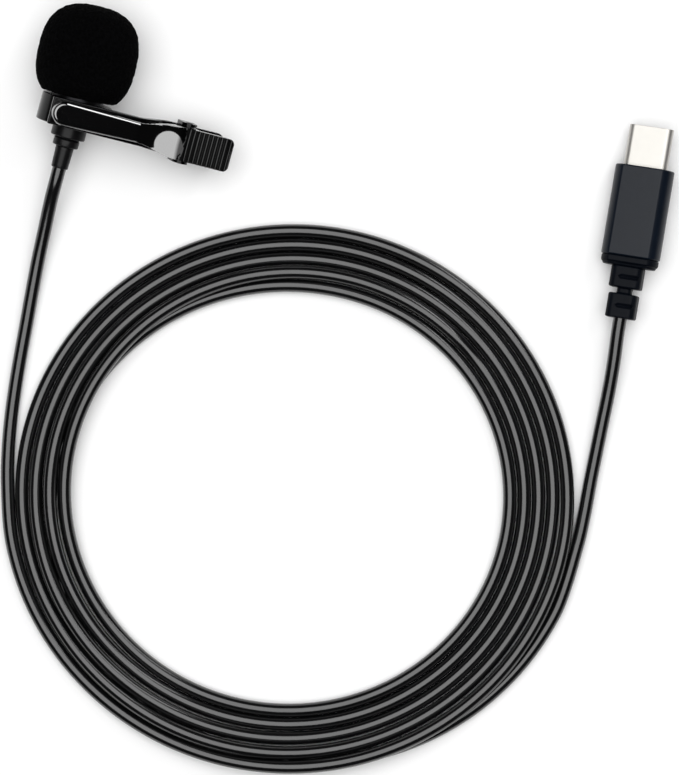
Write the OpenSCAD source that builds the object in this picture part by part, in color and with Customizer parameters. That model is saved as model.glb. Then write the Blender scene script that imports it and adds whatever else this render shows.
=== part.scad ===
// Clip-on lavalier microphone with a foam windscreen, a two-lever spring clip,
// one coiled lead and a USB-C plug, laid out on a flat surface at z = 0.
// Millimetres. The microphone's own axis is +Y in its local frame, foam end first.

/* [Microphone body] */
// Outer diameter of the microphone's metal housing
housing_d = 9.6; // [8:0.1:12]
// Wall of the housing tube
housing_wall = 0.7; // [0.4:0.1:1.2]
// Length of the housing, from its closed end to the grille
housing_len = 12; // [10:0.5:18]
// Thickness of the grille at the sound end
grille_t = 1.2; // [0.8:0.1:2]
// Diameter of one sound hole in the grille
grille_hole_d = 1.0; // [0.5:0.1:1.3]
// Diameter of the electret capsule
capsule_d = 6.0; // [4:0.1:6.6]
// Height of the electret capsule
capsule_h = 2.7; // [1.5:0.1:3.2]

/* [Foam windscreen] */
// Largest diameter of the foam
foam_d = 18.2; // [15:0.2:26]
// Length of the foam along the microphone
foam_len = 16.9; // [15:0.1:30]
// How far the foam's narrow end is drawn in, as a share of its radius
foam_waist = 0.2; // [0.05:0.01:0.3]
// Angle at which the foam sits crooked on the housing
foam_lean = 2; // [0:0.5:5]

/* [Clip] */
// Wall of the ring that grips the housing
ring_wall = 1.65; // [1:0.05:2.5]
// Width of the ring and of the lever that carries it
ring_w = 5.1; // [4:0.1:6]
// Thickness of either lever's arm
arm_t = 1.9; // [1.4:0.1:2.4]
// Width of the free lever's rounded tip
tip_w = 4.4; // [3.6:0.1:5]
// Width of the free lever at its waist
waist_w = 3.7; // [3:0.1:4.4]
// Width of the ribbed thumb pads
pad_w = 6.1; // [5.2:0.1:7]
// Distance from the microphone's axis to the hinge pin
hinge_x = 20.2; // [19:0.1:24]
// Distance from the hinge pin to the end of the free lever's pad
pad_reach = 8.0; // [7.5:0.1:11]
// How much shorter the ring lever's pad is
pad_step = 0.3; // [0:0.1:2]
// Number of grip grooves across each pad
rib_count = 11; // [5:1:11]
// Depth of a grip groove
rib_depth = 0.35; // [0.2:0.05:0.5]
// Diameter of the hinge pin
pin_d = 1.6; // [1.2:0.1:1.8]
// Outer diameter of the hinge ears and lugs
ear_d = 2.9; // [2.6:0.1:3.2]
// Thickness of one hinge ear
ear_t = 0.6; // [0.5:0.1:0.9]
// Wire of the torsion spring
wire_d = 0.45; // [0.3:0.05:0.5]
// Turns of the torsion spring
spring_turns = 4; // [3:1:4]

/* [Lead] */
// Diameter of the lead
cord_d = 2.1; // [1.8:0.05:2.4]
// Distance between neighbouring turns of the coil
coil_pitch = 2.55; // [2.5:0.01:3]
// Length of the moulded sleeve where the lead leaves the microphone
relief_len = 4.1; // [3:0.1:8]
// Diameter of that sleeve at the housing
relief_d = 3.4; // [2.8:0.1:4]

/* [USB-C plug] */
// Width of the metal shell
shell_w = 8.25; // [8.2:0.05:8.34]
// Thickness of the metal shell
shell_t = 2.4; // [2.4:0.02:2.56]
// Length of shell that stands out of the plug
shell_len = 7.6; // [6.6:0.1:9]
// Width of the plug's moulded body
body_w = 11; // [10.5:0.1:13]
// Thickness of the plug's moulded body
body_t = 6.0; // [5.6:0.1:7]
// Length of the plug's moulded body
body_len = 16.7; // [16:0.1:22]
// How far the curve of the body's rounded sides would stand above its flat faces
body_bow = 0.25; // [0.1:0.05:0.6]
// Length of the end cap behind the body
cap_len = 1.8; // [1:0.1:3]

/* [Hidden] */
// Fits between pieces
fit = 0.05;        // pieces of one body that nest
run_fit = 0.06;    // a shaft that turns or slides in its hole
side_fit = 0.12;   // between the cheeks of the hinge
jaw_gap = 0.3;     // between the closed jaws
seat_gap = 0.3;    // between pieces that meet but move apart

// Where the head lies: turned on the surface, its foam and the corner of the ring
// lever's pad on the surface, the ring and collar held a little clear by the lead
head_x = -11.21;
head_y = -4.53;
head_z = 7.931;
head_turn = 15.5;
lay_tilt = 7;
clip_roll = 18.55;

housing_r = housing_d / 2;
inner_r = housing_r - housing_wall;
ring_r = housing_r + run_fit + ring_wall;
housing_y = -ring_w / 2;
housing_top = housing_y + housing_len;
foam_r = foam_d / 2;
foam_y = ring_w / 2 + seat_gap + foam_r * (1 - foam_waist) * sin(foam_lean);
foam_bore_end = housing_top + grille_t + 0.6;

// Collar and sleeve below the housing
collar_y = housing_y;
collar_step = [[3.2, 2.1], [2.2, 0.3], [2.4, 1.4]];    // radius and height of each step
collar_h = collar_step[0][1] + collar_step[1][1] + collar_step[2][1];
relief_y = collar_y - collar_h;
relief_end = relief_y - relief_len;

// Clip, in the clip's own frame: X along the levers, Z out of the ring's back
jaw_z = ring_r - 0.2;
free_z = jaw_z + jaw_gap;
tip_x = -5.8;
hinge_z = 5.5;
lobe_x = 10.9;
pad_x = hinge_x - 2.6;
pad_end = hinge_x + pad_reach;
free_pad_z = free_z + arm_t + 1.25;
pad_t = 1.9;
back_end = pad_end - pad_step;
back_top_z = hinge_z - ear_d / 2 - 0.6;
ear_y = pad_w / 2 + side_fit;
lug_t = 0.9;
spring_r = pin_d / 2 + 0.2 + wire_d / 2;
spring_pitch = wire_d + 0.42;
face_x = pad_x + 0.4;
rib_pitch = (pad_end - 0.7 - face_x) / rib_count;
dish_r = 9;
dish_depth = 0.75;
tooth = 0.4;

// Lead
cord_r = cord_d / 2;
lay_z = 1.27;
coil_x = 28.45;
coil_y = -74.65;
coil_a = 52.4;
coil_b = 50.7;
pitch_a = coil_pitch + 0.1;
coil_rise = coil_pitch + 0.1;
coil_rings = 24;
coil_end = 5.467;
dive_from = 4.7;
end_q = -0.55;

// Plug
plug_x = 93.75;
plug_y = -14.35;
plug_turn = 9.5;
plug_roll = 14;
body_r = body_t / 2 + body_bow;
body_edge = body_w / 2 - body_r + sqrt(body_r^2 - (body_t / 2)^2);
plug_z = body_t / 2 * cos(plug_roll) + body_edge * sin(plug_roll) + 0.02;
shell_wall = 0.3;
shell_root = 4.5;
body_wall = 1.1;
board_t = 0.8;
slot_cut = 0.35;
tail_step = [[6.0, 4.6, 4], [2.7, 2.7, 1.1], [5.5, 4.4, 4.5]];    // width, thickness and length of each step
tail_y = -body_len - cap_len;
tail_ends = [tail_y, tail_y - tail_step[0][2], tail_y - tail_step[0][2] - tail_step[1][2],
    tail_y - tail_step[0][2] - tail_step[1][2] - tail_step[2][2]];
tail_end = tail_ends[3];

black = [0.05, 0.05, 0.055];
gloss_black = [0.03, 0.03, 0.035];
cord_black = [0.09, 0.09, 0.1];
plug_black = [0.13, 0.135, 0.15];
steel = [0.82, 0.83, 0.84];
gold = [0.85, 0.68, 0.3];
board_green = [0.06, 0.22, 0.14];

// Points and sweeps

function unit(v) = v / norm(v);
function turn_z(v, a) = [v.x * cos(a) - v.y * sin(a), v.x * sin(a) + v.y * cos(a), v.z];
function turn_x(v, a) = [v.x, v.y * cos(a) - v.z * sin(a), v.y * sin(a) + v.z * cos(a)];
function turn_y(v, a) = [v.x * cos(a) + v.z * sin(a), v.y, v.z * cos(a) - v.x * sin(a)];
function ease(t) = t <= 0 ? 0 : t >= 1 ? 1 : t * t * (3 - 2 * t);
function head_point(p) = [head_x, head_y, head_z] + turn_z(turn_x(p, lay_tilt), -head_turn);
function plug_point(p) = [plug_x, plug_y, plug_z] + turn_z(turn_y(p, -plug_roll), -plug_turn);

// The direction in which a path runs at its point i
function heading(p, i) = unit(p[min(i + 1, len(p) - 1)] - p[max(i - 1, 0)]);

// One ring of points round a path's point, square to the path
function ring_points(c, t, r, sides, up) =
    let (s = unit(cross(up, t)), u = cross(t, s))
    [for (j = [0:sides - 1]) c + r * (cos(360 * j / sides) * s + sin(360 * j / sides) * u)];

// A round tube along a path, closed at both ends; ends gives the directions it ends in
module tube(p, r, sides, up = [0, 0, 1], ends = []) {
    n = len(p);
    dirs = [for (i = [0:n - 1])
        len(ends) == 2 && i == 0 ? ends[0] : len(ends) == 2 && i == n - 1 ? ends[1] : heading(p, i)];
    points = [for (i = [0:n - 1]) each ring_points(p[i], dirs[i], r, sides, up)];
    walls = [for (i = [0:n - 2]) for (j = [0:sides - 1])
        let (k = (j + 1) % sides, a = i * sides, b = a + sides)
        each [[a + j, b + k, a + k], [a + j, b + j, b + k]]];
    first = [for (j = [1:sides - 2]) [0, j, j + 1]];
    top = (n - 1) * sides;
    last = [for (j = [1:sides - 2]) [top, top + j + 1, top + j]];
    polyhedron(points, concat(walls, first, last));
}

// The coil lies in one layer: it winds inwards from the microphone's side, and its
// inner end then runs outwards again beneath the other turns, which rise over it in
// a long low hump. t counts turns from the coil's leftmost point.
function hermite(t, a, b, slope_a, slope_b) =
    a * (2 * t^3 - 3 * t^2 + 1) + slope_a * (t^3 - 2 * t^2 + t)
    + b * (3 * t^2 - 2 * t^3) + slope_b * (t^3 - t^2);
function under_q(t) =
    t > coil_end ? end_q - (t - coil_end) - 363 * (t - coil_end)^2 :
    t < dive_from ? t :
    let (span = coil_end - dive_from)
    hermite((t - dive_from) / span, dive_from, end_q, span, -span);
function coil_q(t) = t < dive_from ? t : under_q(t);
function under_turn(t) = let (f = t - floor(t)) f < 0.62 ? floor(coil_end) + f : floor(coil_end) - 1 + f;
function hump(k) = abs(k) > 2.2 ? 0 : cos(90 * k / 2.2)^2;
function coil_lift(t) =
    t > dive_from - 0.1 ? 0 :
    let (u = under_turn(t))
    coil_rise * hump(under_q(u) - t) * ease((u - dive_from + 0.3) / 0.45);
function coil_point(t) =
    let (q = coil_q(t), a = 180 + 360 * t)
    [coil_x + (coil_a - pitch_a * q) * cos(a), coil_y + (coil_b - coil_pitch * q) * sin(a),
        lay_z + coil_lift(t)];

// Both ends of the coil run straight for one diameter, so the leads meet them squarely
coil_in = [0, -1, 0];
coil_out = unit([sin(10.5), cos(10.5), 0]);
coil_steps = round(coil_end * coil_rings);
coil_body = [for (i = [1:coil_steps - 1]) coil_point(i * coil_end / coil_steps)];
coil_start = coil_point(0) - coil_in * 2;
coil_stop = coil_point(coil_end) + coil_out * 2;
coil_path = concat([coil_start, coil_start + coil_in * cord_d], coil_body,
    [coil_stop - coil_out * cord_d, coil_stop]);

// Least gap of the coil to itself, on points four times as close as its rings
fine = 4 * coil_rings;
fine_path = [for (i = [0:floor(coil_end * fine)]) coil_point(i / fine)];
coil_gap = min([for (i = [0:len(fine_path) - 1]) for (j = [i + fine / 2:1:len(fine_path) - 1])
    norm(fine_path[i] - fine_path[j])]) - cord_d;
coil_length = len_of(coil_path);
function len_of(p, i = 0, sum = 0) = i >= len(p) - 1 ? sum : len_of(p, i + 1, sum + norm(p[i + 1] - p[i]));

// Free stretches: x, y and the height of the lead's underside above the surface
mic_route = [
    [-16.05, -20.35, 3.8], [-17.05, -25.35, 2.3], [-18.15, -30.85, 1], [-19.35, -36.85, 0.3],
    [-20.45, -42.85, 0], [-21.55, -48.85, 0], [-22.55, -54.85, 0], [-23.35, -60.85, 0],
    [-23.85, -66.85, 0]
];
plug_route = [
    [82.75, -77.85, 0], [83.75, -72.35, 0], [84.85, -66.85, 0.1], [85.95, -61.35, 0.4],
    [87.05, -55.85, 1], [87.95, -50.35, 1.9]
];
function laid(route) = [for (p = route) [p.x, p.y, p.z + lay_z]];
mic_exit = head_point([0, relief_end, 0]);
mic_exit_dir = unit(head_point([0, relief_end - 1, 0]) - mic_exit);
plug_exit = plug_point([0, tail_end, 0]);
plug_exit_dir = unit(plug_point([0, tail_end - 1, 0]) - plug_exit);
mic_path = concat([mic_exit, mic_exit + mic_exit_dir * cord_d], laid(mic_route), [coil_start]);
plug_path = concat([coil_stop], laid(plug_route), [plug_exit + plug_exit_dir * cord_d, plug_exit]);
echo(str("least gap of the coil to itself: ", coil_gap, " mm"));
echo(str("lead: ", len_of(mic_path) + coil_length + len_of(plug_path), " mm, of it in the coil ",
    coil_length));

// Placing

module in_head() translate([head_x, head_y, head_z]) rotate([0, 0, -head_turn])
    rotate([lay_tilt, 0, 0]) children();
module in_clip() in_head() rotate([0, clip_roll, 0]) children();
module in_plug() translate([plug_x, plug_y, plug_z]) rotate([0, 0, -plug_turn])
    rotate([0, -plug_roll, 0]) children();

// A solid of revolution or a cylinder that stands along +Y from y = at
module along_y(at) translate([0, at, 0]) rotate([-90, 0, 0]) children();
module rod_y(r, from, to, n = 48) along_y(from) cylinder(r = r, h = to - from, $fn = n);
// A side outline, drawn in X and Z, made as wide as w about the middle plane
module slab_y(w) rotate([90, 0, 0]) linear_extrude(w, center = true) children();

// Microphone

function foam_radius(y) =
    let (mid = foam_len * 0.44)
    y < mid ? foam_r * (1 - foam_waist * ((mid - y) / mid)^2.5)
    : foam_r * (1 - ((y - mid) / (foam_len - mid))^2.6)^(1 / 2.6);

module foam_windscreen() color(black) in_head() {
    steps = 26;
    edge = 0.7;
    low = foam_radius(0);
    difference() {
        translate([0, foam_y, 0]) rotate([0, 0, foam_lean]) translate([0, -foam_y, 0]) along_y(foam_y)
            rotate_extrude($fn = 72) polygon(concat([[0, 0], [low - edge, 0], [low - edge * 0.3, edge * 0.3]],
                [for (i = [1:steps - 1]) let (y = edge + (foam_len - edge) * sin(90 * i / steps))
                    [foam_radius(y), y]],
                [[0, foam_len]]));
        rod_y(housing_r + run_fit, foam_y - 2, foam_bore_end);
    }
}

module mic_housing() color(black) in_head() difference() {
    rod_y(housing_r, housing_y, housing_top, 72);
    rod_y(inner_r, housing_y + 1, housing_top + 1);
    rod_y(cord_r + fit, housing_y - 1, housing_y + 2);
}

module grille_cap() color(black) in_head() difference() {
    along_y(housing_top) rotate_extrude($fn = 72) polygon(concat([[0, 0], [housing_r, 0]],
        [for (a = [0:15:90]) [housing_r - grille_t * 0.6 * (1 - cos(a)), grille_t * (0.4 + 0.6 * sin(a))]],
        [[0, grille_t]]));
    for (ring = [[0, 1], [housing_r * 0.34, 6], [housing_r * 0.64, 12]]) for (i = [0:ring[1] - 1])
        rotate([0, 360 * i / ring[1], 0]) translate([ring[0], 0, 0])
            rod_y(grille_hole_d / 2, housing_top - 1, housing_top + grille_t + 1, 20);
}

felt_t = 0.6;
module dust_felt() color([0.3, 0.3, 0.3]) in_head()
    rod_y(inner_r - fit, housing_top - felt_t, housing_top);

capsule_y = housing_top - felt_t - 0.1 - capsule_h;
module electret_capsule() color(steel) in_head() difference() {
    rod_y(capsule_d / 2, capsule_y, capsule_y + capsule_h);
    rod_y(1, capsule_y + capsule_h - 0.3, capsule_y + capsule_h + 1, 24);
}

module capsule_boot() color([0.12, 0.12, 0.12]) in_head() difference() {
    rod_y(inner_r - fit, capsule_y - 0.4, capsule_y + capsule_h);
    rod_y(capsule_d / 2 + fit, capsule_y, capsule_y + capsule_h + 1);
    rod_y(capsule_d / 2 - 0.6, capsule_y - 1, capsule_y + 1);
}

board_y = capsule_y - 1.3;
module capsule_board() color(board_green) in_head() {
    rod_y(inner_r - fit, board_y, board_y + 0.8);
    // Terminals that reach the capsule's back
    for (x = [-1.1, 1.1]) translate([x, 0, 0]) rod_y(0.3, board_y + 0.8, capsule_y, 16);
}

module signal_wires() color([0.7, 0.15, 0.12]) in_head()
    for (x = [-0.55, 0.55]) translate([x, 0, 0]) rod_y(0.35, relief_y + 0.6, board_y, 16);

module cable_collar() color(black) in_head() difference() {
    union() {
        rod_y(collar_step[0][0], collar_y - collar_step[0][1], collar_y);
        rod_y(collar_step[1][0], collar_y - collar_step[0][1] - collar_step[1][1], collar_y - collar_step[0][1]);
        rod_y(collar_step[2][0], relief_y, relief_y + collar_step[2][1]);
    }
    rod_y(cord_r - 0.1, relief_y + 0.6, collar_y + 1);
}

module mic_strain_relief() color(cord_black) in_head()
    along_y(relief_end) cylinder(r1 = relief_d / 2 - 0.15, r2 = relief_d / 2, h = relief_len, $fn = 48);

// Clip. Both levers are a side outline cut to a plan outline.

function flare(x, narrow) = narrow + (pad_w / 2 - narrow) * ease((x - lobe_x) / (pad_x - lobe_x));

module pad_plan(end_x, narrow, from_x) {
    corner = 1.1;
    steps = 10;
    xs = [for (i = [0:steps]) lobe_x + (pad_x - lobe_x) * i / steps];
    polygon(concat([[from_x, narrow]], [for (x = xs) [x, flare(x, narrow)]],
        [for (a = [90:-18:0]) [end_x - corner + corner * cos(a), pad_w / 2 - corner + corner * sin(a)]],
        [for (a = [0:-18:-90]) [end_x - corner + corner * cos(a), corner - pad_w / 2 + corner * sin(a)]],
        [for (i = [steps:-1:0]) [xs[i], -flare(xs[i], narrow)]], [[from_x, -narrow]]));
}

// Grip grooves across a pad's outer face, which starts at height z and rises towards x = end_x
module grooves(z, end_x, rise, count, up) {
    slope = atan(rise / (end_x - face_x));
    for (i = [0:count - 1]) {
        x = face_x + (i + 0.5) * rib_pitch;
        slab_y(pad_w + 1) translate([x, z + (x - face_x) * tan(slope)]) rotate(slope) outwards(up)
            polygon([[-0.4, rib_depth / 3], [0, -rib_depth], [0.4, rib_depth / 3]]);
    }
}
module outwards(up) mirror([0, up ? 0 : 1, 0]) children();

// Teeth of a jaw, as notches cut across its face
module notches(z, up) for (x = [tip_x + 1.9:1:tip_x + 9]) slab_y(tip_w - 0.8)
    translate([x, z]) rotate(up ? 0 : 180)
        polygon([[-1.2 * tooth, 0.2 * tooth], [0, -tooth], [1.2 * tooth, 0.2 * tooth]]);

module free_side() {
    top = free_z + arm_t;
    polygon([[tip_x, free_z], [lobe_x - 0.7, free_z], [lobe_x + 4, free_z + 0.5], [pad_x, free_pad_z - pad_t],
        [pad_end, free_pad_z - pad_t + 0.7], [pad_end, free_pad_z + 0.2], [pad_end - 0.7, free_pad_z + 0.6],
        [face_x, free_pad_z], [pad_x - 0.6, free_pad_z - 0.25], [lobe_x + 4.4, top + 0.35], [lobe_x + 2, top],
        [tip_x, top]]);
}

module free_plan() {
    tip_r = tip_w / 2;
    translate([tip_x + tip_r, 0]) circle(tip_r, $fn = 48);
    polygon([[tip_x + tip_r, tip_r], [lobe_x + 0.1, waist_w / 2], [lobe_x + 0.1, -waist_w / 2], [tip_x + tip_r, -tip_r]]);
    pad_plan(pad_end, waist_w / 2, lobe_x - 0.1);
}

module thumb_lever() color(gloss_black) in_clip() difference() {
    union() {
        intersection() {
            slab_y(pad_w + 2) free_side();
            linear_extrude(30) free_plan();
        }
        // Lugs that reach down to the pin
        for (side = [-1, 1]) translate([0, side * (pad_w / 2 - lug_t / 2), 0]) slab_y(lug_t) {
            translate([hinge_x, hinge_z]) circle(d = ear_d, $fn = 48);
            translate([hinge_x - ear_d / 2, hinge_z]) square([ear_d, free_pad_z - pad_t + 0.6 - hinge_z]);
        }
    }
    // Thumb dish between arm and pad
    translate([lobe_x + 2.9, 0, free_z + arm_t + dish_r - dish_depth]) rotate([90, 0, 0]) sphere(dish_r, $fn = 96);
    translate([hinge_x, 0, hinge_z]) rod_y(pin_d / 2 + run_fit, -pad_w, pad_w);
    grooves(free_pad_z, pad_end - 0.7, 0.6, rib_count, true);
    notches(free_z, false);
}

module ring_side() {
    drop = pad_x - 1.9;
    polygon([[tip_x, jaw_z], [lobe_x, jaw_z], [lobe_x + 3, jaw_z - 1.2], [drop, back_top_z + 0.1], [pad_x, back_top_z],
        [back_end - 0.3, back_top_z - 0.5], [back_end, back_top_z - 1], [back_end - 0.2, back_top_z - pad_t - 0.3],
        [face_x, back_top_z - pad_t + 0.2], [lobe_x + 3, jaw_z - 3.6], [lobe_x, jaw_z - arm_t],
        [tip_x + 1.5, jaw_z - arm_t], [tip_x, jaw_z - 0.9]]);
}

module ring_lever() color(gloss_black) in_clip() difference() {
    union() {
        intersection() {
            rod_y(ring_r, -ring_w / 2, ring_w / 2, 96);
            translate([-20, -20, -40 + jaw_z]) cube([40, 40, 40]);
        }
        intersection() {
            slab_y(pad_w + 2) ring_side();
            linear_extrude(60, center = true) pad_plan(back_end, ring_w / 2, tip_x);
        }
        // Ears outside the free lever, on a bridge under the hinge
        for (side = [-1, 1]) translate([0, side * (ear_y + ear_t / 2), 0]) slab_y(ear_t) {
            translate([hinge_x, hinge_z]) circle(d = ear_d, $fn = 48);
            translate([hinge_x - ear_d / 2, back_top_z - 1.2]) square([ear_d, hinge_z - back_top_z + 1.2]);
        }
        slab_y(2 * (ear_y + ear_t)) translate([hinge_x - ear_d / 2, back_top_z - 1.2]) square([ear_d, 1.1]);
    }
    rod_y(housing_r + run_fit, -ring_w, ring_w, 72);
    translate([hinge_x, 0, hinge_z]) rod_y(pin_d / 2 + 0.02, -pad_w, pad_w);
    grooves(back_top_z - pad_t + 0.2, back_end - 0.2, -0.5, rib_count - 1, false);
    notches(jaw_z, true);
}

module hinge_pin() color(steel) in_clip() translate([hinge_x, 0, hinge_z])
    rod_y(pin_d / 2, -ear_y - ear_t - 0.1, ear_y + ear_t + 0.1);

// Spring: turns about the pin, and a leg along the inner face of either pad
spring_rings = 8;
spring_wound = spring_turns - 0.5;
leg = 4.2;
free_leg_z = free_pad_z - pad_t + 0.7 * (leg + hinge_x - pad_x) / (pad_end - pad_x) - wire_d / 2 - 0.03;
back_leg_z = back_top_z - 0.5 * (leg + hinge_x - pad_x) / (back_end - 0.3 - pad_x) + wire_d / 2 + 0.03;
function spring_point(t) =
    [hinge_x + spring_r * cos(90 + 360 * t), (t - spring_wound / 2) * spring_pitch, hinge_z + spring_r * sin(90 + 360 * t)];
function leg_point(side, z, k) =
    [hinge_x + leg * k, side * spring_wound / 2 * spring_pitch, hinge_z - side * spring_r * (1 - k) + (z - hinge_z) * k];
spring_path = concat(
    [for (k = [1, 0.85, 0.4]) leg_point(-1, free_leg_z, k)],
    [for (i = [0:spring_wound * spring_rings]) spring_point(i / spring_rings)],
    [for (k = [0.4, 0.85, 1]) leg_point(1, back_leg_z, k)]);
spring_coil = [for (i = [0:spring_wound * spring_rings * 4]) spring_point(i / spring_rings / 4)];
spring_gap = min([for (i = [0:len(spring_coil) - 1]) for (j = [i + spring_rings * 2:1:len(spring_coil) - 1])
    norm(spring_coil[i] - spring_coil[j])]) - wire_d;
echo(str("least gap of the spring to itself: ", spring_gap, " mm"));

module torsion_spring() color(steel) in_clip() tube(spring_path, wire_d / 2, 6, [0, 1, 0]);

// Lead

module mic_lead() color(cord_black) tube(mic_path, cord_r, 8, ends = [mic_exit_dir, coil_in]);
module cable_coil() color(cord_black) tube(coil_path, cord_r, 6, ends = [coil_in, coil_out]);
module plug_lead() color(cord_black) tube(plug_path, cord_r, 8, ends = [coil_out, -plug_exit_dir]);

// Plug. X across the plug, +Y towards the mouth of its shell, which starts at y = 0.

module oval(w, t) for (side = [-1, 1]) {
    translate([side * (w - t) / 2, 0]) circle(d = t, $fn = 48);
    square([w - t, t], center = true);
}
module round_box(w, t, r) {
    square([w - 2 * r, t], center = true);
    square([w, t - 2 * r], center = true);
    for (x = [-1, 1]) for (z = [-1, 1]) translate([x * (w / 2 - r), z * (t / 2 - r)]) circle(r, $fn = 48);
}
// Flat faces between two rounded sides, drawn in from the plug's own outline by inset
module plug_outline(inset) intersection() {
    square([body_w, body_t - 2 * inset], center = true);
    union() {
        square([body_w - 2 * body_r, 2 * body_r], center = true);
        for (x = [-1, 1]) translate([x * (body_w / 2 - body_r), 0]) circle(body_r - inset, $fn = 96);
    }
}
// A section, drawn in X and Z, run along +Y
module run_y(from, to) translate([0, to, 0]) rotate([90, 0, 0]) linear_extrude(to - from) children();

module usb_shell() color(steel) in_plug() difference() {
    run_y(-shell_root, shell_len) oval(shell_w, shell_t);
    run_y(-shell_root - 1, shell_len + 1) oval(shell_w - 2 * shell_wall, shell_t - 2 * shell_wall);
}

slot_w = 6.7;
slot_t = 0.85;
slot_depth = 6.2;
module usb_insulator() color([0.1, 0.1, 0.1]) in_plug() difference() {
    run_y(-shell_root + 0.4, shell_len - 0.5) oval(shell_w - 2 * shell_wall - 2 * fit, shell_t - 2 * shell_wall - 2 * fit);
    run_y(shell_len - 0.5 - slot_depth, shell_len + 1) square([slot_w, slot_t], center = true);
}

contact_t = 0.12;
module usb_contacts() color(gold) in_plug() for (i = [0:11]) for (z = [-1, 1])
    translate([(i - 5.5) * 0.5, 0, z * (slot_t / 2 - contact_t / 2)])
        run_y(shell_len - 5.6, shell_len - 1) square([0.26, contact_t], center = true);

module usb_latches() color(steel) in_plug() for (x = [-1, 1])
    translate([x * (slot_w / 2 - 0.1), 0, 0]) run_y(shell_len - 4.5, shell_len - 1.6) square([0.2, 0.6], center = true);

pocket_y = -shell_root - 0.3;
module plug_body() color(plug_black) in_plug() difference() {
    run_y(-body_len, 0) plug_outline(0);
    run_y(pocket_y, 1) oval(shell_w + 2 * fit, shell_t + 2 * fit);
    run_y(-body_len + body_wall, pocket_y + 0.1)
        square([body_w - 2 * body_wall - 0.6, body_t - 2 * body_wall - 0.4], center = true);
}

board_end = -body_len + body_wall + 0.3;
module plug_board() color(board_green) in_plug() run_y(board_end, -shell_root + 0.4 - fit) {
    square([shell_w - 2.4, board_t], center = true);
}

// Width, length and thickness of what stands on the board
chip_size = [3, 3, 0.7];
chip_y = -9.1;
module codec_chip() color([0.08, 0.08, 0.08]) in_plug()
    translate([0, chip_y, (board_t + chip_size.z) / 2]) cube(chip_size, center = true);

capacitor_size = [0.5, 1, 0.4];
capacitor_x = chip_size.x / 2 + 0.8;
module board_capacitors() color([0.6, 0.5, 0.35]) in_plug()
    for (side = [-1, 1]) for (y = [chip_y - 3.5, chip_y - 0.3])
        translate([side * capacitor_x, y, (board_t + capacitor_size.z) / 2]) cube(capacitor_size, center = true);

module plug_end_cap() color(plug_black) in_plug() {
    run_y(-body_len - cap_len * 0.7, -body_len) plug_outline(0.15);
    run_y(-body_len - cap_len, -body_len - cap_len * 0.7) plug_outline(0.5);
}

// Two blocks on a narrow neck, each slotted across both faces so that it can bend
module plug_strain_relief() color(plug_black) in_plug() difference() {
    for (i = [0:2]) run_y(tail_ends[i + 1], tail_ends[i])
        round_box(tail_step[i][0], tail_step[i][1], tail_step[i][1] * 0.3);
    for (i = [0, 2]) for (side = [-1, 1]) {
        middle = (tail_ends[i] + tail_ends[i + 1]) / 2;
        translate([side * 0.7, middle, side * tail_step[i][1] / 2])
            cube([tail_step[i][0] - 2.4, 0.5, 2 * slot_cut], center = true);
    }
}

foam_windscreen();
mic_housing();
grille_cap();
dust_felt();
electret_capsule();
capsule_boot();
capsule_board();
signal_wires();
cable_collar();
mic_strain_relief();
ring_lever();
thumb_lever();
hinge_pin();
torsion_spring();
mic_lead();
cable_coil();
plug_lead();
plug_strain_relief();
plug_end_cap();
plug_body();
plug_board();
codec_chip();
board_capacitors();
usb_shell();
usb_insulator();
usb_contacts();
usb_latches();
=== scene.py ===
import math
import bpy
from mathutils import Matrix, Vector


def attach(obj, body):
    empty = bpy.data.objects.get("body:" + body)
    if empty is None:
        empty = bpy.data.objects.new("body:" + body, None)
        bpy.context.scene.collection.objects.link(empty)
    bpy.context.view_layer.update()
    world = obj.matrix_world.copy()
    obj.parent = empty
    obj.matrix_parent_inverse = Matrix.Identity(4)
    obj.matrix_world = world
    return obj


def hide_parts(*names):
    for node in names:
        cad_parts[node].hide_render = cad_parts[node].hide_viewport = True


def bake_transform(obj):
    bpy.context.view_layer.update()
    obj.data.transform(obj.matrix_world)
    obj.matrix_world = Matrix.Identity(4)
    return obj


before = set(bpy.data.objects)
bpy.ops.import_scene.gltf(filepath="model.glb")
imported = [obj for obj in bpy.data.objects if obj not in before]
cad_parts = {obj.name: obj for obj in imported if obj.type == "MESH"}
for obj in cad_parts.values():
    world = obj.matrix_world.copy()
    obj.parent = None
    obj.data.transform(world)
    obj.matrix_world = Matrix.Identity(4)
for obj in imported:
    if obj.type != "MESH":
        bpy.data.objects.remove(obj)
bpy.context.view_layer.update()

# The view: the microphone lies on a pale table and is seen from straight above.
# A long lens keeps the raised head and plug almost free of perspective.
camera_data = bpy.data.cameras.new("overhead_camera")
camera_data.sensor_fit = "HORIZONTAL"
camera_data.sensor_width = 36
camera_data.lens = 200.4
camera_data.clip_start = 0.01
camera = bpy.data.objects.new("overhead_camera", camera_data)
camera.location = (0.03741, -0.05481, 0.7)
bpy.context.collection.objects.link(camera)
bpy.context.scene.camera = camera
bpy.context.scene.view_settings.view_transform = "Standard"


def turned(axis, degrees):
    return Matrix.Rotation(math.radians(degrees), 4, axis)


# The places that the pieces are built in: the microphone with +Y towards its foam,
# the clip rolled about that axis until its pad touches the table, and the plug.
head = Matrix.Translation((-0.01121, -0.00453, 0.007931)) @ turned("Z", -15.5) @ turned("X", 7)
clip = head @ turned("Y", 18.55)
plug_roll = 14
plug_half_thick, plug_half_flat, plug_clear = 0.003, 0.0035, 0.00002
plug_height = (plug_half_thick * math.cos(math.radians(plug_roll))
               + plug_half_flat * math.sin(math.radians(plug_roll)) + plug_clear)
plug = Matrix.Translation((0.09375, -0.01435, plug_height)) @ turned("Z", -9.5) @ turned("Y", -plug_roll)


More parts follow.
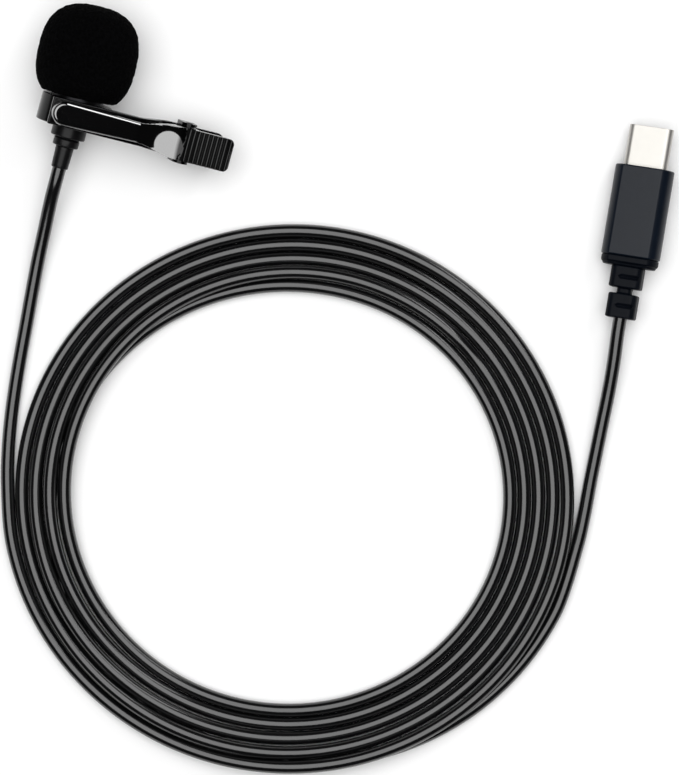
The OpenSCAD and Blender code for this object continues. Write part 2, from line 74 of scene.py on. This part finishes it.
# The lead: one length of round two-core cable in a smooth soft jacket. It leaves the
# microphone's sleeve, lies in a flat coil of five turns whose inner end runs out again
# beneath the others, and enters the plug's strain relief.
class Line:
    """A value on a shader's wire, so that shader maths reads as plain sums."""

    def __init__(self, wiring, socket):
        self.wiring, self.socket = wiring, socket

    def sum(self, operation, other):
        return self.wiring.node("ShaderNodeMath", {"operation": operation}, {0: self, 1: other})

    def __add__(self, other):
        return self.sum("ADD", other)

    def __sub__(self, other):
        return self.sum("SUBTRACT", other)

    def __mul__(self, other):
        return self.sum("MULTIPLY", other)


class Wiring:
    """The nodes of a material or of the world."""

    def __init__(self, tree):
        self.tree = tree

    def node(self, kind, settings=None, inputs=None, out=0):
        made = self.tree.nodes.new(kind)
        for key, value in (settings or {}).items():
            setattr(made, key, value)
        for key, value in (inputs or {}).items():
            self.feed(made.inputs[key], value)
        return Line(self, made.outputs[out])

    def feed(self, socket, value):
        if isinstance(value, Line):
            self.tree.links.new(value.socket, socket)
        else:
            socket.default_value = value


class Finish(Wiring):
    """A material, whose patterns lie in the object's own coordinates."""

    def __init__(self, name, **fixed):
        self.material = bpy.data.materials.new(name)
        self.material.use_nodes = True
        super().__init__(self.material.node_tree)
        self.shader = self.tree.nodes["Principled BSDF"]
        for socket, value in fixed.items():
            self.shader.inputs[socket.replace("_", " ")].default_value = value
        self.place = self.node("ShaderNodeTexCoord", out="Object")

    def noise(self, per_metre, detail=3):
        inputs = {"Vector": self.place, "Scale": per_metre, "Detail": detail, "Roughness": 0.55}
        return self.node("ShaderNodeTexNoise", {}, inputs, "Fac")

    def colour(self, dark, light, share):
        """Base colour between a dark and a light one, by a share from 0 to 1."""
        mix = self.tree.nodes.new("ShaderNodeMix")
        mix.data_type = "RGBA"
        self.feed(mix.inputs[0], share)
        mix.inputs[6].default_value = (*dark, 1)
        mix.inputs[7].default_value = (*light, 1)
        self.feed(self.shader.inputs["Base Color"], Line(self, mix.outputs[2]))

    def roughness(self, least, spread, per_metre):
        self.feed(self.shader.inputs["Roughness"], self.noise(per_metre) * spread + least)

    def relief(self, height, strength, depth, under=None):
        inputs = {"Height": height, "Strength": strength, "Distance": depth}
        if under:
            inputs["Normal"] = under
        return self.node("ShaderNodeBump", {}, inputs, "Normal")

    def normal(self, value):
        self.feed(self.shader.inputs["Normal"], value)

    def on(self, *pieces):
        for piece in pieces:
            piece.data.materials.clear()
            piece.data.materials.append(self.material)


jacket = Finish("cord_jacket", Specular_IOR_Level=0.7, Coat_Weight=0.12, Coat_Roughness=0.12)
jacket.colour((0.002, 0.002, 0.0022), (0.005, 0.005, 0.0054), jacket.noise(260))
jacket.roughness(0.13, 0.08, 900)
jacket.normal(jacket.relief(jacket.noise(2400, 2), 0.06, 0.00005))

cord_d = 0.00254
lay_height = cord_d / 2

# The coil is nearly round. Its other numbers count in turns and pitches: where it ends,
# where the inner end starts to dive, how many pitches outside the first turn it comes
# out, and over how many pitches, and from where on, the turns above it are raised.
coil_middle = (0.02845, -0.07465)
coil_across, coil_along = 0.0524, 0.0507
pitch_across, pitch_along = 0.00265, 0.00255
coil_end = 5.467
dive_from = 4.7
end_q = -0.55
end_bow = 363
coil_rise = 0.00265
bridge = 2.2
bridge_before, bridge_over = 0.3, 0.45
sixth_turn_part = 0.62


def ease(t):
    t = min(max(t, 0), 1)
    return t * t * (3 - 2 * t)


def hermite(u, start, start_slope, end, end_slope):
    """A smooth step at u, from start to end with the given slopes."""
    return (start * (2 * u ** 3 - 3 * u ** 2 + 1) + start_slope * (u ** 3 - 2 * u ** 2 + u)
            + end * (3 * u ** 2 - 2 * u ** 3) + end_slope * (u ** 3 - u ** 2))


def under_q(t):
    """How many turns in from the outermost the cord lies, t turns along it."""
    if t > coil_end:
        return end_q - (t - coil_end) - end_bow * (t - coil_end) ** 2
    if t < dive_from:
        return t
    span = coil_end - dive_from
    return hermite((t - dive_from) / span, dive_from, span, end_q, -span)


def coil_lift(t):
    """How far the cord is raised, t turns along it, where the inner end runs beneath."""
    if t > dive_from - 0.1:
        return 0
    part = t - math.floor(t)
    u = part + (5 if part < sixth_turn_part else 4)
    k = under_q(u) - t
    rise = 0 if abs(k) > bridge else math.cos(math.pi / 2 * k / bridge) ** 2
    return coil_rise * rise * ease((u - dive_from + bridge_before) / bridge_over)


def coil_point(t):
    q = under_q(t)
    a = math.pi + 2 * math.pi * t
    return Vector((coil_middle[0] + (coil_across - pitch_across * q) * math.cos(a),
                   coil_middle[1] + (coil_along - pitch_along * q) * math.sin(a),
                   lay_height + coil_lift(t)))


def laid(route):
    return [Vector((x, y, z + lay_height)) for x, y, z in route]


def way_out(place, y):
    """Where the cord leaves a fitting on its axis, and the direction it leaves in."""
    start = place @ Vector((0, y, 0))
    return start, (place @ Vector((0, y - 0.001, 0)) - start).normalized()


sleeve_end, relief_end = -0.01045, -0.0281
mic_exit, mic_down = way_out(head, sleeve_end)
plug_exit, plug_down = way_out(plug, relief_end)
leaving_angle = math.radians(10.5)
coil_in = Vector((0, 0.002, 0))
coil_out = Vector((math.sin(leaving_angle), math.cos(leaving_angle), 0)) * 0.002
points_per_turn = 48

to_coil = laid([(-0.01565, -0.02035, 0.0038), (-0.01685, -0.02535, 0.0023), (-0.01815, -0.03085, 0.001),
                (-0.01935, -0.03685, 0.0003), (-0.02045, -0.04285, 0), (-0.02155, -0.04885, 0),
                (-0.02255, -0.05485, 0), (-0.02335, -0.06085, 0), (-0.02385, -0.06685, 0)])
to_plug = laid([(0.08275, -0.07785, 0), (0.08375, -0.07235, 0), (0.08485, -0.06685, 0.0001),
                (0.08595, -0.06135, 0.0004), (0.08705, -0.05585, 0.001), (0.08795, -0.05035, 0.0019)])
route = [mic_exit, mic_exit + mic_down * cord_d] + to_coil + [coil_point(0) + coil_in]
route += [coil_point(i / points_per_turn) for i in range(1, int(coil_end * points_per_turn))]
route += [coil_point(coil_end) + coil_out] + to_plug + [plug_exit + plug_down * cord_d, plug_exit]


def threaded(points, apart):
    """Closely spaced points on one smooth curve through all the given ones."""
    out = []
    last = len(points) - 1
    for i in range(last):
        before, here, there, after = (points[min(max(k, 0), last)] for k in (i - 1, i, i + 1, i + 2))
        length = (there - here).length
        start = (there - before).normalized() * length
        end = (after - here).normalized() * length
        steps = max(1, round(length / apart))
        out += [hermite(j / steps, here, start, there, end) for j in range(steps)]
    return out + [points[-1]]


def strand(name, points, diameter, sides):
    curve = bpy.data.curves.new(name, "CURVE")
    curve.dimensions = "3D"
    curve.bevel_depth = diameter / 2
    curve.bevel_resolution = sides
    curve.use_fill_caps = True
    line = curve.splines.new("POLY")
    line.points.add(len(points) - 1)
    for point, spot in zip(line.points, points):
        point.co = (*spot, 1)
    line.use_smooth = True
    piece = bpy.data.objects.new(name, curve)
    bpy.context.collection.objects.link(piece)
    return piece


lead_line = threaded(route, apart=0.0011)
lead = strand("lead", lead_line, cord_d, sides=4)
jacket.on(lead)
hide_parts("mic_lead", "cable_coil", "plug_lead")
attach(lead, "microphone")
lead_length = sum((b - a).length for a, b in zip(lead_line, lead_line[1:]))


# The capsule housing: a thin turned tube, anodised black, that holds the grille, a
# felt disc, the capsule in its rubber boot and the small board with its two wires.
def alone(piece):
    """Selects one object and nothing else."""
    if bpy.context.mode != "OBJECT":
        bpy.ops.object.mode_set(mode="OBJECT")
    bpy.ops.object.select_all(action="DESELECT")
    piece.hide_viewport = False
    piece.select_set(True)
    bpy.context.view_layer.objects.active = piece


sharp_angle, narrow_angle = math.radians(45), math.radians(50)


def round_edges(piece, radius, segments, where):
    """Rounds the sharp edges whose two ends pass the test where. An edge that meets a
    second one at a narrow angle, or two others of which one is short, stays sharp."""
    bpy.ops.object.mode_set(mode="EDIT")
    bpy.ops.mesh.select_mode(type="EDGE")
    bpy.ops.mesh.select_all(action="DESELECT")
    bpy.ops.mesh.edges_select_sharp(sharpness=sharp_angle)
    bpy.ops.object.mode_set(mode="OBJECT")
    for part in (*piece.data.polygons, *piece.data.vertices):
        part.select = False
    spots = [point.co for point in piece.data.vertices]
    leaving = {}
    for side in piece.data.edges:
        side.select = side.select and all(where(spots[i]) for i in side.vertices)
        if side.select:
            i, j = side.vertices
            leaving.setdefault(i, []).append(spots[j] - spots[i])
            leaving.setdefault(j, []).append(spots[i] - spots[j])
    crowded = set()
    for i, ways in leaving.items():
        short = len(ways) > 2 and min(way.length for way in ways) < radius
        if short or any(a.angle(b, math.pi) < narrow_angle for k, a in enumerate(ways) for b in ways[:k]):
            crowded.add(i)
    for side in piece.data.edges:
        side.select = side.select and not crowded.intersection(side.vertices)
    bpy.ops.object.mode_set(mode="EDIT")
    bpy.ops.mesh.bevel(offset=radius, segments=segments, clamp_overlap=False)
    bpy.ops.mesh.select_all(action="SELECT")
    bpy.ops.mesh.remove_doubles(threshold=2e-6)
    bpy.ops.object.mode_set(mode="OBJECT")


# The fitted meshes hold slivers, of which the longer ones would spoil wide rounds.
sliver, sliver_long = 2e-5, 5e-5


def rounded(node, name, body, width=0, corner=28, steps=2, rounds=()):
    """A copy of a fitted piece with its sharp edges rounded, which then stands for it:
    all to one width, or group after group where rounds gives radius, steps and test."""
    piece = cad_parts[node].copy()
    piece.data = piece.data.copy()
    piece.name = name
    bpy.context.collection.objects.link(piece)
    piece.parent = None
    piece.matrix_world = Matrix.Identity(4)
    alone(piece)
    bpy.ops.object.mode_set(mode="EDIT")
    bpy.ops.mesh.select_all(action="SELECT")
    bpy.ops.mesh.remove_doubles(threshold=sliver_long if rounds else sliver)
    bpy.ops.mesh.dissolve_limited(angle_limit=math.radians(0.5))
    bpy.ops.object.mode_set(mode="OBJECT")
    for radius, segments, where in rounds:
        round_edges(piece, radius, segments, where)
    if not rounds:
        edge = piece.modifiers.new("edge", "BEVEL")
        edge.width = width
        edge.segments = steps
        edge.limit_method = "ANGLE"
        edge.angle_limit = math.radians(corner)
        edge.miter_outer = "MITER_ARC"
        edge.use_clamp_overlap = False
        bpy.ops.object.modifier_apply(modifier="edge")
    bpy.ops.object.shade_smooth_by_angle(angle=math.radians(32))
    even = piece.modifiers.new("even", "WEIGHTED_NORMAL")
    even.keep_sharp = True
    bpy.ops.object.modifier_apply(modifier="even")
    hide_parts(node)
    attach(piece, body)
    return piece


def fitted(*names):
    return [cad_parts[name] for name in names]


anodised = Finish("anodised_black", Metallic=0.9)
anodised.colour((0.016, 0.016, 0.018), (0.03, 0.03, 0.033), anodised.noise(2500))
anodised.roughness(0.3, 0.15, 1800)
housing = rounded("mic_housing", "capsule_housing", "microphone", width=0.00012)
anodised.on(housing, *fitted("grille_cap"))

felt = Finish("dust_felt", Roughness=1.0, Sheen_Weight=0.4)
felt.colour((0.05, 0.05, 0.05), (0.14, 0.14, 0.14), felt.noise(9000, 4))
felt.normal(felt.relief(felt.noise(12000, 4), 0.5, 0.00005))
felt.on(*fitted("dust_felt"))

can = Finish("capsule_can", Metallic=1.0)
can.colour((0.62, 0.63, 0.65), (0.78, 0.79, 0.8), can.noise(1200))
can.roughness(0.22, 0.2, 2600)
can.on(*fitted("electret_capsule"))

boot = Finish("boot_rubber", Roughness=0.8)
boot.colour((0.02, 0.02, 0.02), (0.035, 0.035, 0.036), boot.noise(1500))
boot.on(*fitted("capsule_boot"))

resist = Finish("solder_resist", Coat_Weight=0.3)
resist.colour((0.015, 0.09, 0.045), (0.03, 0.15, 0.08), resist.noise(1400))
resist.roughness(0.3, 0.2, 2400)
resist.on(*fitted("capsule_board", "plug_board"))

core = Finish("core_sleeve")
core.colour((0.4, 0.03, 0.02), (0.55, 0.05, 0.04), core.noise(1500))
core.roughness(0.35, 0.2, 2000)
core.on(*fitted("signal_wires"))

# The collar: a turned stepped nut that closes the housing's end, satin black, and in
# it a short sleeve of the same finish that keeps the lead from kinking.
turned_black = Finish("turned_black", Specular_IOR_Level=0.16, Coat_Weight=0.05, Coat_Roughness=0.2)
turned_black.colour((0.003, 0.003, 0.0033), (0.007, 0.007, 0.0075), turned_black.noise(900))
turned_black.roughness(0.26, 0.12, 2200)
turned_black.normal(turned_black.relief(turned_black.noise(5200, 2), 0.08, 0.00005))
collar = rounded("cable_collar", "stepped_collar", "microphone", width=0.00022, steps=3)
sleeve = rounded("mic_strain_relief", "lead_sleeve", "microphone", width=0.0002, steps=3)
turned_black.on(collar, sleeve)


# The windscreen: a cap of open-cell foam, cut and ground to a rounded barrel and
# pushed over the housing up to the clip's ring. Its cells show as a fine grain in relief,
# with painted shade darkening the colour in their hollows.
def lathe(name, profile, steps):
    """A solid turned about the Y axis from a profile of radius and height."""
    bpy.ops.object.select_all(action="DESELECT")
    bpy.ops.mesh.primitive_circle_add(vertices=3, radius=0.001)
    piece = bpy.context.object
    piece.name = name
    bpy.ops.object.mode_set(mode="EDIT")
    bpy.ops.mesh.select_all(action="SELECT")
    bpy.ops.mesh.merge(type="CENTER")
    bpy.ops.transform.translate(value=(profile[0][0], profile[0][1], 0))
    for (r0, y0), (r1, y1) in zip(profile, profile[1:]):
        bpy.ops.mesh.extrude_region_move(TRANSFORM_OT_translate={"value": (r1 - r0, y1 - y0, 0)})
    bpy.ops.mesh.select_all(action="SELECT")
    bpy.ops.mesh.spin(steps=steps, angle=2 * math.pi, center=(0, 0, 0), axis=(0, 1, 0))
    bpy.ops.mesh.select_all(action="SELECT")
    bpy.ops.mesh.remove_doubles(threshold=1e-6)
    bpy.ops.mesh.normals_make_consistent(inside=False)
    bpy.ops.object.mode_set(mode="OBJECT")
    return piece


foam_base = 0.0031
foam_length = 0.0169
foam_radius = 0.0091
foam_widest = foam_length * 0.44
foam_waist = 0.2
foam_dome = 2.6
bore_radius = 0.00486
bore_depth = 0.0084
outline_steps = 34


def foam_outline(y):
    if y < foam_widest:
        return foam_radius * (1 - foam_waist * ((foam_widest - y) / foam_widest) ** 2.5)
    part = min(1, (y - foam_widest) / (foam_length - foam_widest))
    return foam_radius * (1 - part ** foam_dome) ** (1 / foam_dome)


low = foam_outline(0)
outline = [(0, bore_depth)] + [(bore_radius, y) for y in (0.008, 0.005, 0.002, 0)]
outline += [((bore_radius + low) / 2, 0), (low - 0.0007, 0), (low - 0.0003, 0.0001), (low - 0.0001, 0.0004)]
for i in range(1, outline_steps):
    y = 0.0007 + (foam_length - 0.0007) * math.sin(math.pi / 2 * i / outline_steps)
    outline.append((foam_outline(y), y))
outline.append((0, foam_length))
windscreen = lathe("foam_windscreen_cover", outline, steps=88)
windscreen.matrix_world = head @ Matrix.Translation((0, foam_base, 0)) @ turned("Z", 2)
alone(windscreen)
bpy.ops.object.transform_apply(location=True, rotation=True, scale=True)
finer = windscreen.modifiers.new("finer", "SUBSURF")
finer.levels = finer.render_levels = 2
bpy.ops.object.modifier_apply(modifier="finer")
cells = bpy.data.textures.new("foam_cells", "VORONOI")
cells.noise_scale = 0.0007
cells.noise_intensity = 1.1
grain = windscreen.modifiers.new("grain", "DISPLACE")
grain.texture = cells
grain.texture_coords = "LOCAL"
grain.strength = 0.00022
grain.mid_level = 0.6
bpy.ops.object.modifier_apply(modifier="grain")
bpy.ops.object.shade_smooth()

foam = Finish("open_cell_foam", Roughness=1.0, Specular_IOR_Level=0.02)
pores_and_shade = foam.node("ShaderNodeTexVoronoi", {}, {"Vector": foam.place, "Scale": 1900}, "Distance")
# The colour is a random dark tone, plus painted shade that darkens the pores' centres, where the cells'
# hollows would lie in shade.
foam.colour((0.0001, 0.0001, 0.0001), (0.0018, 0.0018, 0.002), pores_and_shade * 0.75 + foam.noise(700, 4) * 0.45)
foam.normal(foam.relief(foam.noise(5200, 4), 0.55, 0.00012, foam.relief(pores_and_shade, 0.9, 0.0002)))
foam.on(windscreen)
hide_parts("foam_windscreen")
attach(windscreen, "microphone")


# The clip's levers: two glossy black mouldings. The first is one piece with the ring
# that grips the housing; the free one has a thumb dish, a flare and a ribbed pad, and
# a polish on its arm and dish that stops short of the ribs.
def black_moulding(name, least, spread, **fixed):
    made = Finish(name, **fixed)
    made.colour((0.0004, 0.0004, 0.0005), (0.001, 0.001, 0.0012), made.noise(500))
    made.roughness(least, spread, 1600)
    made.normal(made.relief(made.noise(900, 2), 0.04, 0.00008))
    return made


gloss = black_moulding("polished_moulding", 0.05, 0.04,
                       Specular_IOR_Level=0.35, Coat_Roughness=0.05, Coat_IOR=2.2)
clip_way = clip.col[0].xyz
along_clip = gloss.node("ShaderNodeVectorMath", {"operation": "DOT_PRODUCT"},
                        {0: gloss.place, 1: clip_way}, "Value") - clip_way.dot(clip.translation)
polish_ends = {"From Min": 0.0178, "From Max": 0.0184, "To Min": 1.0, "To Max": 0.0}
polish = gloss.node("ShaderNodeMapRange", {}, {"Value": along_clip, **polish_ends})
gloss.feed(gloss.shader.inputs["Coat Weight"], polish)
ring_gloss = black_moulding("ring_moulding", 0.14, 0.06, Specular_IOR_Level=0.2)

pin_x, pin_z = 0.0202, 0.0055
ear_reach = 0.0042
arm_top, arm_end = 0.00851, 0.0112
pad_end_from = 0.02815
in_clip = clip.inverted()


def on_arm_top(point):
    x, y, z = in_clip @ point
    return abs(z - arm_top) < 3e-5 and x < arm_end


def at_pad_end(point):
    return (in_clip @ point).x > pad_end_from


def off_hinge(point):
    """Clear of the ears and lugs, which pass close to each other."""
    x, y, z = in_clip @ point
    return math.hypot(x - pin_x, z - pin_z) > ear_reach


ring_lever = rounded("ring_lever", "ring_and_lever", "clip",
                     rounds=[(0.00025, 3, off_hinge)])
free_lever = rounded("thumb_lever", "free_lever", "thumb_lever",
                     rounds=[(0.0006, 4, on_arm_top), (0.0004, 4, at_pad_end), (0.00008, 2, off_hinge)])
ring_gloss.on(ring_lever)
gloss.on(free_lever)

# The hinge: a steel pin through both levers' ears, and round it a torsion spring of
# round wire whose legs push the two pads apart and so close the jaws.
bright = Finish("bright_wire", Metallic=1.0)
bright.colour((0.5, 0.5, 0.52), (0.66, 0.66, 0.68), bright.noise(1500))
bright.roughness(0.2, 0.15, 3000)
blackened = Finish("blackened_pin", Metallic=0.8)
blackened.colour((0.03, 0.03, 0.033), (0.06, 0.06, 0.064), blackened.noise(1500))
blackened.roughness(0.25, 0.15, 3000)
pin = rounded("hinge_pin", "lever_pin", "clip", width=0.00025, steps=3)
blackened.on(pin)

wound, spring_r, spring_pitch, wire_d = 3.5, 0.001225, 0.00087, 0.00045
leg = 0.0042
leg_parts = (0.4, 0.85, 1)
free_leg_z, ring_leg_z = 0.008054, 0.003365
points_per_winding = 32


def leg_point(side, leg_z, k):
    """A point k of the way along a leg, from the windings to where it meets a pad."""
    return Vector((pin_x + leg * k, side * wound / 2 * spring_pitch,
                   pin_z - side * spring_r * (1 - k) + (leg_z - pin_z) * k))


wire = [leg_point(-1, free_leg_z, k) for k in reversed(leg_parts)]
for i in range(int(wound * points_per_winding) + 1):
    turn = math.pi / 2 + 2 * math.pi * i / points_per_winding
    across = (i / points_per_winding - wound / 2) * spring_pitch
    wire.append(Vector((pin_x + spring_r * math.cos(turn), across, pin_z + spring_r * math.sin(turn))))
wire += [leg_point(1, ring_leg_z, k) for k in leg_parts]
spring = strand("clip_spring", [clip @ point for point in wire], wire_d, sides=3)
alone(spring)
bpy.ops.object.convert(target="MESH")
spring = bpy.context.object
bright.on(spring)
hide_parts("torsion_spring")
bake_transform(spring)


# The plug: a body in dark satin plastic with rounded long edges over a small board,
# and an end cap and a two-block strain relief moulded in a softer, duller one.
def plug_plastic(name, specular, dark, light, per_metre, least, spread, grain):
    made = Finish(name, Specular_IOR_Level=specular)
    made.colour(dark, light, made.noise(per_metre))
    made.roughness(least, spread, 1500)
    made.normal(made.relief(made.noise(6500, 2), grain, 0.00005))
    return made


satin = plug_plastic("satin_moulding", 0.21, (0.0018, 0.004, 0.0085), (0.003, 0.006, 0.012), 420,
                     least=0.3, spread=0.08, grain=0.15)
soft = plug_plastic("soft_moulding", 0.09, (0.0008, 0.0015, 0.0035), (0.0016, 0.003, 0.006), 500,
                    least=0.42, spread=0.1, grain=0.2)
body, cap, relief = (
    rounded(node, name, "microphone", width=0.0003, corner=40, steps=3)
    for node, name in (("plug_body", "plug_moulding"), ("plug_end_cap", "plug_cap"),
                       ("plug_strain_relief", "plug_kink_guard")))
satin.on(body)
soft.on(cap, relief)

chip = Finish("chip_resin", Roughness=0.6)
chip.colour((0.012, 0.012, 0.013), (0.025, 0.025, 0.026), chip.noise(4000))
chip.on(*fitted("codec_chip"))
ceramic = Finish("capacitor_ceramic", Roughness=0.45)
ceramic.colour((0.32, 0.22, 0.12), (0.48, 0.36, 0.22), ceramic.noise(3500))
ceramic.on(*fitted("board_capacitors"))

# The shell: drawn stainless strip, rolled to a flat oval tube and nickel plated, round
# a black insulator with two rows of gilt contacts and a latch at either side.
plated = Finish("nickel_shell", Metallic=1.0)
plated.colour((0.545, 0.532, 0.5), (0.59, 0.575, 0.545), plated.noise(300))
plated.roughness(0.43, 0.06, 700)
shell = rounded("usb_shell", "plug_shell", "microphone", width=0.0001, corner=40)
plated.on(shell)
bright.on(*fitted("usb_latches"))
resin = Finish("insulator_resin")
resin.colour((0.01, 0.01, 0.01), (0.02, 0.02, 0.02), resin.noise(1500))
resin.roughness(0.4, 0.15, 2500)
resin.on(*fitted("usb_insulator"))
gilt = Finish("gilt_contact", Metallic=1.0)
gilt.colour((0.8, 0.56, 0.2), (0.9, 0.68, 0.3), gilt.noise(4000))
gilt.roughness(0.2, 0.1, 5000)
gilt.on(*fitted("usb_contacts"))

# The table: a smooth matt white sheet, larger than any view of the microphone, that
# takes its soft shadow and shows as plain white in the gaps.
bpy.ops.object.select_all(action="DESELECT")
bpy.ops.mesh.primitive_circle_add(vertices=96, radius=4, fill_type="NGON", location=(0.04, -0.05, 0))
table = bpy.context.object
table.name = "table"
sheet = Finish("white_table", Roughness=0.9, Specular_IOR_Level=0.1)
sheet.feed(sheet.shader.inputs["Base Color"], (0.87, 0.87, 0.87, 1))
sheet.on(table)

# The studio: a round softbox overhead, a little to the left, a narrow strip on the right
# that draws the edges, and walls that light evenly but show and mirror as dim ones,
# darkest overhead.
wall_light = 0.33
wall_shown = {"From Min": 0.1, "From Max": 0.2, "To Min": 0.1, "To Max": 0.01}
world = bpy.data.worlds.new("studio")
bpy.context.scene.world = world
world.use_nodes = True
sky = Wiring(world.node_tree)
facing = sky.node("ShaderNodeTexCoord", out="Generated")
height = sky.node("ShaderNodeSeparateXYZ", {}, {0: facing}, "Z")
dim = sky.node("ShaderNodeMapRange", {}, {"Value": height, **wall_shown})
camera_ray, clear_ray, mirror_ray = (
    sky.node("ShaderNodeLightPath", out=kind)
    for kind in ("Is Camera Ray", "Is Transmission Ray", "Is Glossy Ray"))
shown = camera_ray.sum("MAXIMUM", clear_ray).sum("MAXIMUM", mirror_ray)
strength = sky.node("ShaderNodeMix", {}, {0: shown, 2: wall_light, 3: dim})
back = sky.tree.nodes["Background"]
sky.feed(back.inputs["Color"], (1, 1, 1, 1))
sky.feed(back.inputs["Strength"], strength)


def softbox(name, shape, place, width, height, watts, target, roll=0):
    lamp = bpy.data.lights.new(name, "AREA")
    lamp.shape = shape
    lamp.size, lamp.size_y = width, height
    lamp.energy = watts
    stand = bpy.data.objects.new(name, lamp)
    stand.location = place
    aim = (Vector(target) - Vector(place)).to_track_quat("-Z", "Y").to_matrix().to_4x4()
    stand.rotation_euler = (aim @ turned("Z", roll)).to_euler()
    bpy.context.collection.objects.link(stand)


softbox("overhead_box", "DISK", (-0.06, 0.02, 1), width=1.28, height=1.28, watts=11.9,
        target=(-0.06, 0.02, 0))
softbox("edge_strip", "RECTANGLE", (0.46, 0.42, 0.47), width=0.07, height=0.6, watts=0.9,
        target=(0, 0, 0), roll=36)
